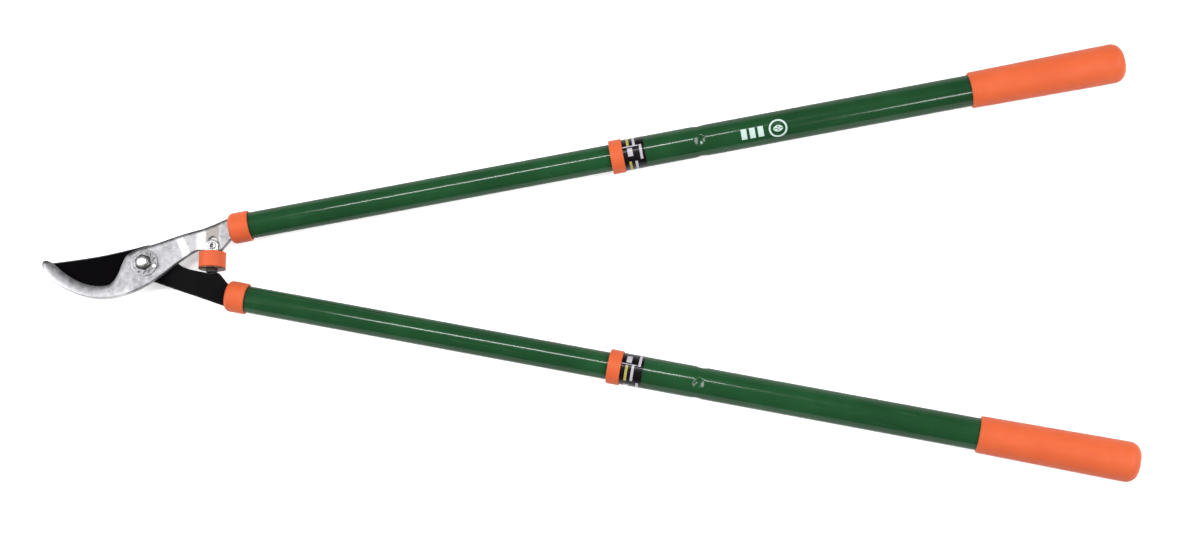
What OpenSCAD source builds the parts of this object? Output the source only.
// Bypass loppers with telescopic tube handles.
// The tool lies flat: X runs from the jaw tip (-X) to the grips (+X), the hook arm is on +Y,
// the cutting arm on -Y, and Z = 0 is the surface that the grips rest on.
// The jaws are closed and both handles are pulled out to their full length.

/* [Handles] */
// Angle between each handle and the line of symmetry, degrees
handle_angle = 10.5; // [9.5:0.05:12]
// Distance from the pivot back to the point where the two handle axes cross
cross_back = 91.5; // [85:0.5:100]
// Distance of the pivot from the line of symmetry, towards the cutting arm
pivot_drop = 1.5; // [0:0.1:3]
// Length that each handle telescopes
travel = 330; // [250:5:335]

/* [Tubes] */
// Outer diameter of the inner tube
inner_tube_d = 25; // [24:0.5:25]
// Outer diameter of the outer tube
outer_tube_d = 29; // [29:0.1:30]
// Wall of both tubes
tube_wall = 1.2; // [1:0.1:1.3]
// Distance along the handle axis from the crossing point to the mouth collar
collar_start = 536; // [520:1:545]
// Distance from the mouth collar to the ring of crimped dimples
dimple_back = 84; // [70:1:95]

/* [Ferrules and collars] */
// Distance along the handle axis from the crossing point to the ferrule's nose
ferrule_start = 173; // [168:1:175]
// Length of a ferrule
ferrule_len = 19.5; // [16:0.5:22]
// Diameter of a ferrule
ferrule_d = 29; // [27:0.5:30]
// Length of a mouth collar
collar_len = 12; // [8:0.5:16]
// Diameter of a mouth collar
collar_d = 31.8; // [31.6:0.1:34]
// Width of the printed label band behind the collar
label_len = 20; // [10:1:30]

/* [Grips] */
// Distance along the handle axis from the crossing point to the end of the grip
grip_end = 1016; // [1005:1:1030]
// Length of a grip
grip_len = 143; // [110:1:160]
// Diameter of a grip at its start
grip_d_start = 33.6; // [33.2:0.2:36]
// Diameter of a grip at its end
grip_d_end = 36.6; // [34:0.2:40]

/* [Jaws] */
// Thickness of the hook plate
hook_t = 6; // [5:0.5:7]
// Thickness of the cutting blade
blade_t = 4; // [3:0.5:4]
// Gap between the two plates
plate_gap = 0.2; // [0.1:0.05:0.3]
// Width of the ground bevel on the cutting edge
bevel_w = 6; // [4:0.5:8]

/* [Pivot] */
// Diameter of the pivot bolt where the blades turn
pivot_d = 10; // [8:0.5:10]
// Size of the pivot nut across its flats
nut_af = 13; // [13:0.5:14]

/* [Bumper] */
// Diameter of the shock bumper
bumper_d = 25.4; // [22:0.2:26]
// Length of the shock bumper
bumper_len = 15; // [12:0.5:15]

/* [Hidden] */
$fn = 96;
facets_small = 48;
eps = 0.01;
run_fit = 0.06;
// half the length of a tool that cuts through any plate or tube
through = 30;
// how far a cutting tool reaches past a face
over = 1;

steel = [0.74, 0.74, 0.76];
dark_steel = [0.32, 0.31, 0.31];
blade_black = [0.09, 0.08, 0.09];
green = [0.13, 0.29, 0.18];
orange = [0.88, 0.36, 0.22];
nylon = [0.85, 0.84, 0.8];
rubber = [0.1, 0.1, 0.1];

// radii
inner_r = inner_tube_d / 2;
outer_r = outer_tube_d / 2;
inner_bore_r = inner_r - tube_wall;
outer_bore_r = outer_r - tube_wall;
ferrule_r = ferrule_d / 2;
collar_r = collar_d / 2;
grip_r_start = grip_d_start / 2;
grip_r_end = grip_d_end / 2;
pivot_r = pivot_d / 2;
bumper_r = bumper_d / 2;

// stations along a handle axis, from the crossing point
ferrule_back = ferrule_start + ferrule_len;
ferrule_wall = 4;
ferrule_nose = 5;
ferrule_edge = 0.5;
tang_from = ferrule_start - over;
tang_in = 52;
tang_end = ferrule_start + tang_in;
plug_past = 4;
plug_end = tang_end + plug_past;
pin_back = 12;
pin_at = ferrule_start + pin_back;
pin_r = 2;
pin_short = 0.4;
inner_start = ferrule_start + ferrule_wall;
collar_lip = 2;
collar_nose = 1.2;
collar_round = 0.4;
collar_back = 0.6;
outer_start = collar_start + collar_lip;
bush_len = 24;
label_gap = 0.3;
label_t = 0.15;
label_start = collar_start + collar_len + label_gap;
dimple_at = collar_start + dimple_back;
grip_start = grip_end - grip_len;
grip_floor = 8;
outer_end = grip_end - grip_floor;

// dimples in the outer tube
dimple_ball_r = 9;
dimple_depth = 0.9;
dimple_clear = 0.12;
dimple_count = 4;

// twist lock, behind the dimples
inner_past = 4;
inner_end = dimple_at + inner_past;
stud_plug_len = 24;
stud_plug_edge = 1;
stud_flange = 3;
stud_r = 4;
stud_len = 36;
stud_cap_r = 6;
stud_cap_len = 3;
sleeve_gap = 0.3;
sleeve_start = inner_end + stud_flange + sleeve_gap;
sleeve_len = 22;
sleeve_edge = 0.8;
sleeve_clear = 0.08;
sleeve_r = outer_bore_r - sleeve_clear;
sleeve_hub = 5;
sleeve_slot_w = 1.6;
cone_len = 10;
cone_land = 1;
cone_out = 4;
cone_start = sleeve_start + sleeve_len + cone_out - cone_len;
cone_r_small = 8;
cone_r_big = 10.5;
cone_clear = 0.2;

// grip shape
grip_corner = 11;
grip_lip = 1.5;
// share of the lip where its slope changes
lip_break = 0.4;
corner_steps = 14;

// places of the pivot and of the tube plane
tip_reach = 99;
grip_reach = (grip_end - grip_corner) * cos(handle_angle)
    + (grip_r_end - grip_corner) * sin(handle_angle) + grip_corner - cross_back;
pivot_x = (tip_reach - grip_reach) / 2;
pivot_y = -pivot_drop;
axis_z = grip_r_end;

// plates at the pivot and where they enter the tubes
hook_z = plate_gap / 2;
blade_z = -plate_gap / 2 - blade_t;
hook_joggle = [29, 56];
blade_joggle = [33, 52];
joggle_steps = 12;
tang_half = 10.2;

// pivot stack
washer_r = 12.8;
washer_t = 1.2;
star_r = 10.8;
lock_screw_r = 1.5;
star_t = 1.4;
star_teeth = 12;
notch_r = 2.1;
lock_screw_at = -18;
lock_screw_z = 1;
lock_screw_head = 2.4;
lock_screw_edge = 0.6;
lock_screw_fit = 0.05;
driver_w = 0.6;
driver_depth = 0.8;
nut_h = 6;
nut_corner = nut_af / sqrt(3);
nut_drop = 2.2;
nut_flat_in = 1.2;
nut_fit = 0.05;
bolt_thread_r = 4;
bolt_past = 1;
bolt_end_z = hook_z + hook_t + washer_t + nut_h + bolt_past;
bolt_head_r = 9;
bolt_head_h = 5;
bolt_head_edge = 1.5;
bolt_chamfer = 0.6;
blade_washer_gap = 0.1;
blade_washer_r = 11;

// bumper
bumper_x = 63;
bumper_top = 11;
bumper_bottom = bumper_top - bumper_len;
bumper_edge = 1;
// share of the bumper's edge where its slope changes
bumper_break = 0.3;
bumper_back_edge = 0.4;
bumper_washer_over = 0.1;
bumper_washer_t = 1.2;
foot_r = 5.4;
foot_len = 3.3;
foot_edge = 0.8;
foot_socket = 1.5;
bracket_t = 1.6;
bracket_w = 11.5;
bracket_base = 1.5;
rivet_y = 16.7;
rivet_r = 2.5;
rivet_head_r = 3.7;
rivet_head_h = 1;
rivet_head_edge = 0.6;
rivet_eye_r = 1.5;
rivet_eye_edge = 0.5;
slot_w = 8;
slot_up = 5;
bumper_stud_r = 3;

// cutting edge of the blade: one arc from the tip to the heel
edge_r = 69;
edge_tip = [-91, 0];
edge_heel = [-22, -25];
// how far the bevel runs on past each end of the arc, degrees
bevel_lead = 8;
bevel_runout = 6;
// thickness left at the cutting edge
edge_land = 0.3;
edge_steps = 40;

UPPER = 1;
LOWER = -1;

// ---------- helpers ----------

// one point of a smooth curve that passes through p1 and p2
function curve_point(p0, p1, p2, p3, t) =
    0.5 * ((2 * p1) + (p2 - p0) * t + (2 * p0 - 5 * p1 + 4 * p2 - p3) * t * t
    + (3 * p1 - p0 - 3 * p2 + p3) * t * t * t);

// a smooth open curve through every point of a list
function smooth(pts, steps) = concat(
    [for (i = [0:len(pts) - 2], k = [0:steps - 1])
        curve_point(pts[max(i - 1, 0)], pts[i], pts[i + 1], pts[min(i + 2, len(pts) - 1)],
            k / steps)],
    [pts[len(pts) - 1]]);

// points of a circle's arc
function arc(centre, r, from, to, steps) =
    [for (k = [0:steps]) centre + r * [cos(from + (to - from) * k / steps),
        sin(from + (to - from) * k / steps)]];

function angle_of(v) = atan2(v[1], v[0]);

// a point given along and across a handle axis, in the pivot's coordinates
function on_axis(side, along, across) = [
    -cross_back + along * cos(handle_angle) - side * across * sin(handle_angle),
    pivot_drop + side * (along * sin(handle_angle) + side * across * cos(handle_angle))];

// the pivot is the origin, Z = 0 is the plane of the tube axes
module at_pivot() {
    translate([pivot_x, pivot_y, axis_z]) children();
}

// +Z runs along a handle axis from the crossing point
module on_handle(side, along = 0) {
    translate([pivot_x - cross_back, 0, axis_z])
        rotate([0, 0, side * handle_angle])
            rotate([0, 90, 0])
                translate([0, 0, along])
                    children();
}

module ring(r_out, r_in, h) {
    difference() {
        cylinder(r = r_out, h = h);
        translate([0, 0, -eps]) cylinder(r = r_in, h = h + 2 * eps);
    }
}

// side view of a plate of thickness t that steps from z_jaw to z_tang
module joggled_plate(z_jaw, z_tang, t, span) {
    lead = [for (k = [0:joggle_steps])
        [span[0] + (span[1] - span[0]) * k / joggle_steps,
            z_jaw + (z_tang - z_jaw) * (1 - cos(180 * k / joggle_steps)) / 2]];
    lower = concat([[-tip_reach - through, z_jaw]], lead, [[tang_end, z_tang]]);
    upper = [for (i = [len(lower) - 1:-1:0]) lower[i] + [0, t]];
    rotate([90, 0, 0])
        linear_extrude(height = 2 * tip_reach, center = true)
            polygon(concat(lower, upper));
}

module screw_hole(r) {
    cylinder(r = r, h = 2 * through, center = true);
}

// ---------- jaws ----------

// outer side of the hook, from the tip round the belly to the root of the tang
hook_belly = smooth([[-99, -1], [-94, -10.5], [-86, -18], [-72, -25.5], [-58, -31],
    [-44, -33.6], [-31, -33.2], [-17.5, -29.8], [-4, -24.4], [7, -18], [17.5, -10.6],
    [27, -2.8]], 5);
// lower side of the tang, with the shoulder that carries the bumper
hook_tang_low = smooth([[27, -2.8], [36, 4], [44, 10], [49, bumper_top + bracket_base]], 5);
hook_shoulder = [71.5, bumper_top + bracket_base];
// inner side of the hook, from the tip's nose round the bay to the pivot boss
hook_bay = smooth([[-12, 11.2], [-17.5, 7], [-21.2, 0], [-24.5, -9], [-29, -16.5],
    [-35.5, -20.8], [-48.5, -21], [-62.5, -17], [-76.5, -9], [-89, 0.8], [-95.3, 3.6]], 5);
hook_nose = [-98.2, 2.8];
hook_top = smooth([[54, 33.6], [40.5, 29.4], [17.5, 21.4], [2, 16.2], [-6, 13.6],
    [-12, 11.2]], 4);

module hook_outline() {
    polygon(concat(
        hook_belly,
        hook_tang_low,
        [hook_shoulder],
        [on_axis(UPPER, tang_from, -tang_half)],
        [on_axis(UPPER, tang_end, -tang_half)],
        [on_axis(UPPER, tang_end, tang_half)],
        [on_axis(UPPER, tang_from, tang_half)],
        hook_top,
        hook_bay,
        [hook_nose]));
}

module hook_blade() {
    color(steel)
    at_pivot()
    difference() {
        intersection() {
            linear_extrude(height = 2 * through, center = true) hook_outline();
            joggled_plate(hook_z, -hook_t / 2, hook_t, hook_joggle);
        }
        screw_hole(pivot_r);
        rotate([0, 0, lock_screw_at])
            translate([star_r, 0, 0])
                screw_hole(lock_screw_r);
        translate([bumper_x, rivet_y])
            linear_extrude(height = 2 * through, center = true) {
                translate([-slot_w / 2, 0]) square([slot_w, slot_up]);
                translate([0, slot_up]) circle(d = slot_w);
                circle(d = slot_w);
            }
        on_pin(UPPER);
    }
}

// hole of the cross pin that holds a tang in its tube
module on_pin(side) {
    translate([-pivot_x, -pivot_y, -axis_z])
        on_handle(side, pin_at)
            rotate([0, 90, 0])
                screw_hole(pin_r);
}

edge_chord = edge_heel - edge_tip;
edge_half = norm(edge_chord) / 2;
edge_up = [-edge_chord[1], edge_chord[0]] / norm(edge_chord);
edge_centre = (edge_tip + edge_heel) / 2 + edge_up * sqrt(edge_r * edge_r - edge_half * edge_half);
edge_from = angle_of(edge_tip - edge_centre);
edge_to = angle_of(edge_heel - edge_centre);

blade_spine = smooth([[18, 10], [10.5, 16], [1, 18.3], [-11, 15.4], [-25, 12.1], [-43, 8.2],
    [-66, 4.6], [-91, 1.4]], 4);
blade_tang_top = smooth([[52.5, -7.6], [41, -4.8], [31.5, -0.3], [18, 10]], 4);
blade_heel = smooth([edge_heel, [-15, -22.5], [-6, -18.5], [8, -16.6]], 4);
tang_stop = [[70, -9], [60, -9]];

module blade_outline() {
    polygon(concat(
        arc(edge_centre, edge_r, edge_from, edge_to, edge_steps),
        blade_heel,
        [on_axis(LOWER, tang_from, -tang_half)],
        [on_axis(LOWER, tang_end, -tang_half)],
        [on_axis(LOWER, tang_end, tang_half)],
        [on_axis(LOWER, tang_from, tang_half)],
        tang_stop,
        blade_tang_top,
        blade_spine));
}

module cutting_blade() {
    color(blade_black)
    at_pivot()
    difference() {
        intersection() {
            linear_extrude(height = 2 * through, center = true) blade_outline();
            joggled_plate(blade_z, -blade_t / 2, blade_t, blade_joggle);
        }
        screw_hole(pivot_r + run_fit);
        on_pin(LOWER);
        // ground bevel on the far side of the cutting edge
        translate([edge_centre[0], edge_centre[1], blade_z])
            rotate([0, 0, edge_from - bevel_lead])
                rotate_extrude(angle = edge_to - edge_from + bevel_lead + bevel_runout, $fn = 180)
                    polygon([[edge_r - bevel_w, -eps], [edge_r + bevel_w, -eps],
                        [edge_r + bevel_w, blade_t - edge_land], [edge_r, blade_t - edge_land]]);
    }
}

// ---------- pivot ----------

module pivot_bolt() {
    shank_end = hook_z + hook_t;
    head_z = blade_z - blade_washer_gap - washer_t;
    head_low = head_z - bolt_head_h;
    color(steel)
    at_pivot()
    rotate_extrude()
        polygon([[0, head_low], [bolt_head_r - 2 * bolt_head_edge, head_low],
            [bolt_head_r - bolt_head_edge / 2, head_low + bolt_head_edge],
            [bolt_head_r, head_z - bolt_head_edge], [bolt_head_r, head_z], [pivot_r, head_z],
            [pivot_r, shank_end], [bolt_thread_r, shank_end],
            [bolt_thread_r, bolt_end_z - bolt_chamfer],
            [bolt_thread_r - bolt_chamfer, bolt_end_z], [0, bolt_end_z]]);
}

module pivot_nut() {
    color(steel)
    at_pivot()
    translate([0, 0, hook_z + hook_t + washer_t])
    difference() {
        intersection() {
            rotate([0, 0, lock_screw_at]) cylinder(r = nut_corner, h = nut_h, $fn = 6);
            rotate_extrude()
                polygon([[0, 0], [nut_corner + over, 0], [nut_corner + over, nut_h - nut_drop],
                    [nut_af / 2 - nut_flat_in, nut_h], [0, nut_h]]);
        }
        translate([0, 0, -eps]) cylinder(r = bolt_thread_r, h = nut_h + 2 * eps);
    }
}

module pivot_washer() {
    color(steel)
    at_pivot()
    translate([0, 0, hook_z + hook_t])
    difference() {
        ring(washer_r, bolt_thread_r, washer_t);
        rotate([0, 0, lock_screw_at]) translate([star_r, 0, 0]) screw_hole(lock_screw_r);
    }
}

// notched plate that the lock screw keeps from turning with the nut
module lock_plate() {
    color(steel)
    at_pivot()
    translate([0, 0, hook_z + hook_t + washer_t])
    difference() {
        cylinder(r = star_r, h = star_t);
        translate([0, 0, -over]) rotate([0, 0, lock_screw_at])
            cylinder(r = nut_corner + nut_fit, h = star_t + 2 * over, $fn = 6);
        for (k = [0:star_teeth - 1])
            rotate([0, 0, lock_screw_at + 360 * k / star_teeth])
                translate([star_r, 0, -over])
                    cylinder(r = notch_r, h = star_t + 2 * over, $fn = facets_small);
    }
}

module lock_screw() {
    head_z = hook_z + hook_t + washer_t;
    top_z = head_z + lock_screw_head;
    head_r = notch_r - lock_screw_fit;
    color(steel)
    at_pivot()
    rotate([0, 0, lock_screw_at])
    translate([star_r, 0, 0])
    difference() {
        rotate_extrude($fn = facets_small)
            polygon([[0, lock_screw_z], [lock_screw_r, lock_screw_z], [lock_screw_r, head_z],
                [head_r, head_z], [head_r, top_z - lock_screw_edge],
                [head_r - lock_screw_edge, top_z], [0, top_z]]);
        translate([-notch_r, -driver_w / 2, top_z - driver_depth])
            cube([2 * notch_r, driver_w, over]);
    }
}

module blade_washer() {
    color(steel)
    at_pivot()
    translate([0, 0, blade_z - blade_washer_gap - washer_t])
        ring(blade_washer_r, pivot_r, washer_t);
}

// ---------- bumper ----------

module bumper_bracket() {
    color(steel)
    at_pivot() {
        clip_z = hook_t / 2 + bracket_t;
        for (z = [hook_t / 2, -clip_z])
            translate([bumper_x, 0, z])
                difference() {
                    linear_extrude(height = bracket_t) {
                        translate([0, rivet_y]) circle(d = bracket_w);
                        translate([-bracket_w / 2, bumper_top])
                            square([bracket_w, rivet_y - bumper_top]);
                    }
                    translate([0, rivet_y, -over])
                        cylinder(r = rivet_r, h = bracket_t + 2 * over);
                }
        translate([bumper_x - bracket_w / 2, bumper_top, -clip_z])
            cube([bracket_w, bracket_base, 2 * clip_z]);
        translate([bumper_x, bumper_top + eps, 0])
            rotate([90, 0, 0])
                cylinder(r = bumper_stud_r, h = bumper_len + bumper_washer_t + foot_socket + eps);
    }
}

// tubular rivet with a dished eye at both ends
module bumper_rivet() {
    color(steel)
    at_pivot() {
        face = hook_t / 2 + bracket_t;
        top = face + rivet_head_h;
        dish = top - rivet_eye_edge;
        rim_in = rivet_eye_r + rivet_eye_edge;
        rim_out = rivet_head_r - rivet_head_edge;
        translate([bumper_x, rivet_y, 0])
            rotate_extrude($fn = facets_small)
                polygon([[rivet_eye_r, -dish], [rim_in, -top], [rim_out, -top],
                    [rivet_head_r, -face], [rivet_r, -face], [rivet_r, face],
                    [rivet_head_r, face], [rim_out, top], [rim_in, top], [rivet_eye_r, dish]]);
    }
}

module along_bumper(y) {
    at_pivot()
        translate([bumper_x, y, 0])
            rotate([90, 0, 0])
                children();
}

module bumper() {
    color(orange)
    along_bumper(bumper_top)
    rotate_extrude()
        polygon([[bumper_stud_r, 0], [bumper_r - bumper_edge, 0],
            [bumper_r - bumper_break * bumper_edge, bumper_break * bumper_edge],
            [bumper_r, bumper_edge], [bumper_r, bumper_len - bumper_back_edge],
            [bumper_r - bumper_back_edge, bumper_len],
            [bumper_stud_r, bumper_len]]);
}

module bumper_washer() {
    color(dark_steel)
    along_bumper(bumper_bottom)
        ring(bumper_r + bumper_washer_over, bumper_stud_r, bumper_washer_t);
}

module bumper_foot() {
    color(rubber)
    along_bumper(bumper_bottom - bumper_washer_t)
    difference() {
        rotate_extrude($fn = facets_small)
            polygon([[0, 0], [foot_r, 0], [foot_r, foot_len - foot_edge],
                [foot_r - foot_edge, foot_len], [0, foot_len]]);
        translate([0, 0, -eps]) cylinder(r = bumper_stud_r, h = foot_socket + eps);
    }
}

// ---------- head end of a handle ----------

module tang_slot(t) {
    translate([-t / 2, -tang_half, -over])
        cube([t, 2 * tang_half, tang_in + over]);
}

module ferrule(side, tang_t) {
    color(orange)
    on_handle(side, ferrule_start)
    difference() {
        rotate_extrude()
            polygon(concat([[0, 0]],
                arc([ferrule_r - ferrule_nose, ferrule_nose], ferrule_nose, -90, 0, corner_steps),
                [[ferrule_r, ferrule_len - ferrule_edge],
                [ferrule_r - ferrule_edge, ferrule_len], [0, ferrule_len]]));
        translate([0, 0, ferrule_wall]) cylinder(r = inner_r, h = ferrule_len);
        tang_slot(tang_t);
    }
}

module tang_plug(side, tang_t) {
    color(nylon)
    on_handle(side, inner_start)
    difference() {
        cylinder(r = inner_bore_r, h = plug_end - inner_start);
        translate([0, 0, ferrule_start - inner_start]) tang_slot(tang_t);
        translate([0, 0, pin_at - inner_start])
            rotate([0, 90, 0])
                screw_hole(pin_r);
    }
}

// cross pin, hidden under the ferrule
module tang_pin(side) {
    color(steel)
    on_handle(side, pin_at)
    rotate([0, 90, 0])
        cylinder(r = pin_r, h = 2 * inner_r - pin_short, center = true);
}

module inner_tube(side) {
    color(green)
    on_handle(side, inner_start)
    difference() {
        ring(inner_r, inner_bore_r, inner_end - inner_start);
        translate([0, 0, pin_at - inner_start])
            rotate([0, 90, 0])
                screw_hole(pin_r);
    }
}

// ---------- twist lock ----------

module lock_stud(side) {
    color(nylon)
    on_handle(side, inner_end)
    rotate_extrude()
        polygon([[0, -stud_plug_len], [inner_bore_r - stud_plug_edge, -stud_plug_len],
            [inner_bore_r, -stud_plug_len + stud_plug_edge], [inner_bore_r, 0], [inner_r, 0],
            [inner_r, stud_flange], [stud_r, stud_flange], [stud_r, stud_len],
            [stud_cap_r, stud_len], [stud_cap_r, stud_len + stud_cap_len],
            [0, stud_len + stud_cap_len]]);
}

// wedge nut: drawn into the sleeve as the handle is twisted tight
module lock_cone(side) {
    color(dark_steel)
    on_handle(side, cone_start)
    rotate_extrude()
        polygon([[stud_r + run_fit, 0], [cone_r_small, 0], [cone_r_big, cone_len - cone_land],
            [cone_r_big, cone_len], [stud_r + run_fit, cone_len]]);
}

// split expander that grips the bore of the outer tube
module lock_sleeve(side) {
    slope = (cone_r_big - cone_r_small) / (cone_len - cone_land);
    seat = cone_r_small + cone_clear;
    mouth = seat + slope * (cone_len - cone_out);
    color(nylon)
    on_handle(side, sleeve_start)
    difference() {
        rotate_extrude()
            polygon([[stud_r + run_fit, 0], [sleeve_r - sleeve_edge, 0],
                [sleeve_r, sleeve_edge], [sleeve_r, sleeve_len - sleeve_edge],
                [sleeve_r - sleeve_edge, sleeve_len], [mouth, sleeve_len],
                [seat, sleeve_len - cone_len + cone_out],
                [seat, sleeve_hub], [stud_r + run_fit, sleeve_hub]]);
        for (a = [0, 90])
            rotate([0, 0, a])
                translate([-sleeve_r - over, -sleeve_slot_w / 2, sleeve_hub])
                    cube([2 * (sleeve_r + over), sleeve_slot_w, sleeve_len]);
    }
}

// ---------- sliding part of a handle ----------

module outer_tube(side) {
    color(green)
    on_handle(side, outer_start)
    difference() {
        union() {
            ring(outer_r, outer_bore_r, outer_end - outer_start);
            translate([0, 0, dimple_at - outer_start])
                intersection() {
                    at_dimples(inner_r + dimple_clear + dimple_ball_r)
                        sphere(r = dimple_ball_r);
                    cylinder(r = outer_bore_r + tube_wall / 2, h = 2 * through, center = true);
                }
        }
        translate([0, 0, dimple_at - outer_start])
            at_dimples(outer_r - dimple_depth + dimple_ball_r)
                sphere(r = dimple_ball_r);
    }
}

module at_dimples(distance) {
    for (k = [0:dimple_count - 1])
        rotate([0, 0, 360 * k / dimple_count])
            translate([distance, 0, 0])
                children();
}

module guide_bush(side) {
    color(nylon)
    on_handle(side, outer_start)
        ring(outer_bore_r, inner_r + run_fit, bush_len);
}

module collar(side) {
    color(orange)
    on_handle(side, collar_start)
    rotate_extrude()
        polygon([[inner_r + run_fit, 0], [collar_r - collar_nose, 0],
            [collar_r - collar_round, collar_round], [collar_r, collar_nose],
            [collar_r, collar_len - collar_back], [collar_r - collar_back, collar_len],
            [outer_r, collar_len], [outer_r, collar_lip], [inner_r + run_fit, collar_lip]]);
}

module label(side) {
    color(rubber)
    on_handle(side, label_start)
        ring(outer_r + label_t, outer_r, label_len);
}

module grip(side) {
    color(orange)
    on_handle(side, grip_start)
    rotate_extrude()
        polygon(concat([[outer_r, 0], [grip_r_start - grip_lip, 0],
            [grip_r_start - lip_break * grip_lip, lip_break * grip_lip],
            [grip_r_start, grip_lip]],
            arc([grip_r_end - grip_corner, grip_len - grip_corner], grip_corner, 0, 90,
                corner_steps),
            [[0, grip_len], [0, grip_len - grip_floor], [outer_r, grip_len - grip_floor]]));
}

hook_blade();
cutting_blade();
pivot_bolt();
pivot_nut();
pivot_washer();
lock_plate();
lock_screw();
blade_washer();
bumper_bracket();
bumper_rivet();
bumper();
bumper_washer();
bumper_foot();
ferrule(UPPER, hook_t);  // upper_ferrule
tang_plug(UPPER, hook_t);  // upper_tang_plug
tang_pin(UPPER);  // upper_tang_pin
inner_tube(UPPER);  // upper_inner_tube
lock_stud(UPPER);  // upper_lock_stud
lock_cone(UPPER);  // upper_lock_cone
lock_sleeve(UPPER);  // upper_lock_sleeve
outer_tube(UPPER);  // upper_outer_tube
guide_bush(UPPER);  // upper_guide_bush
collar(UPPER);  // upper_collar
label(UPPER);  // upper_label
grip(UPPER);  // upper_grip
ferrule(LOWER, blade_t);  // lower_ferrule
tang_plug(LOWER, blade_t);  // lower_tang_plug
tang_pin(LOWER);  // lower_tang_pin
inner_tube(LOWER);  // lower_inner_tube
lock_stud(LOWER);  // lower_lock_stud
lock_cone(LOWER);  // lower_lock_cone
lock_sleeve(LOWER);  // lower_lock_sleeve
outer_tube(LOWER);  // lower_outer_tube
guide_bush(LOWER);  // lower_guide_bush
collar(LOWER);  // lower_collar
label(LOWER);  // lower_label
grip(LOWER);  // lower_grip
